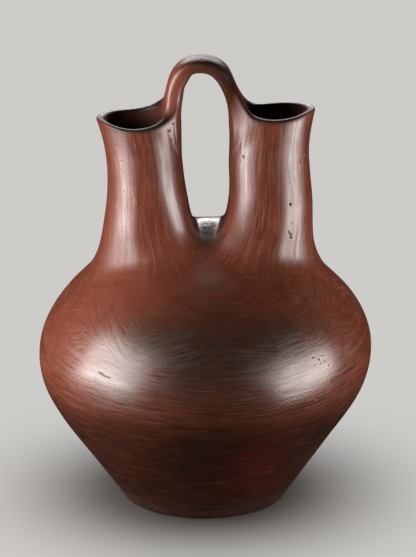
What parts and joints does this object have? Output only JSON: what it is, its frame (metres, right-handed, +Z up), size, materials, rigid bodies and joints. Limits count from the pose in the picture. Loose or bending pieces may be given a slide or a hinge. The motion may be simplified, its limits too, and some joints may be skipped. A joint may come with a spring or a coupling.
{
  "type": "wedding vase",
  "caption": "Round-bellied burnished clay vase that closes to a pair of open spouts, their rims joined by an arched strap handle.",
  "frame": {"origin": "middle of the foot, on the surface that the vase stands on", "axes": "+Z up, X from the left spout to the right spout, +Y away from the near side"},
  "size_m": [0.232, 0.2282, 0.3154],
  "materials": {
    "foot_slip": "worn satin red-brown slip",
    "lower_slip": "stone-burnished red-brown slip, horizontal strokes",
    "belly_slip": "stone-burnished red-brown slip with a smoky fire cloud",
    "shoulder_slip": "stone-burnished red-brown slip with smoky fire clouds",
    "saddle_slip": "stone-burnished red-brown slip",
    "spout_slip": "stone-burnished red-brown slip, upright strokes",
    "lip_slip": "satin red-brown slip, darker at the edge",
    "handle_slip": "stone-burnished red-brown slip with pits"
  },
  "bodies": {
    "root": {"base": "foot_slip", "lower_wall": "lower_slip", "middle_wall": "lower_slip", "belly_wall": "belly_slip", "shoulder_wall": "shoulder_slip", "spout_saddle": "saddle_slip", "left_spout": "spout_slip", "right_spout": "spout_slip", "left_lip": "lip_slip", "right_lip": "lip_slip", "bridge_handle": "handle_slip"}
  },
  "joints": []
}
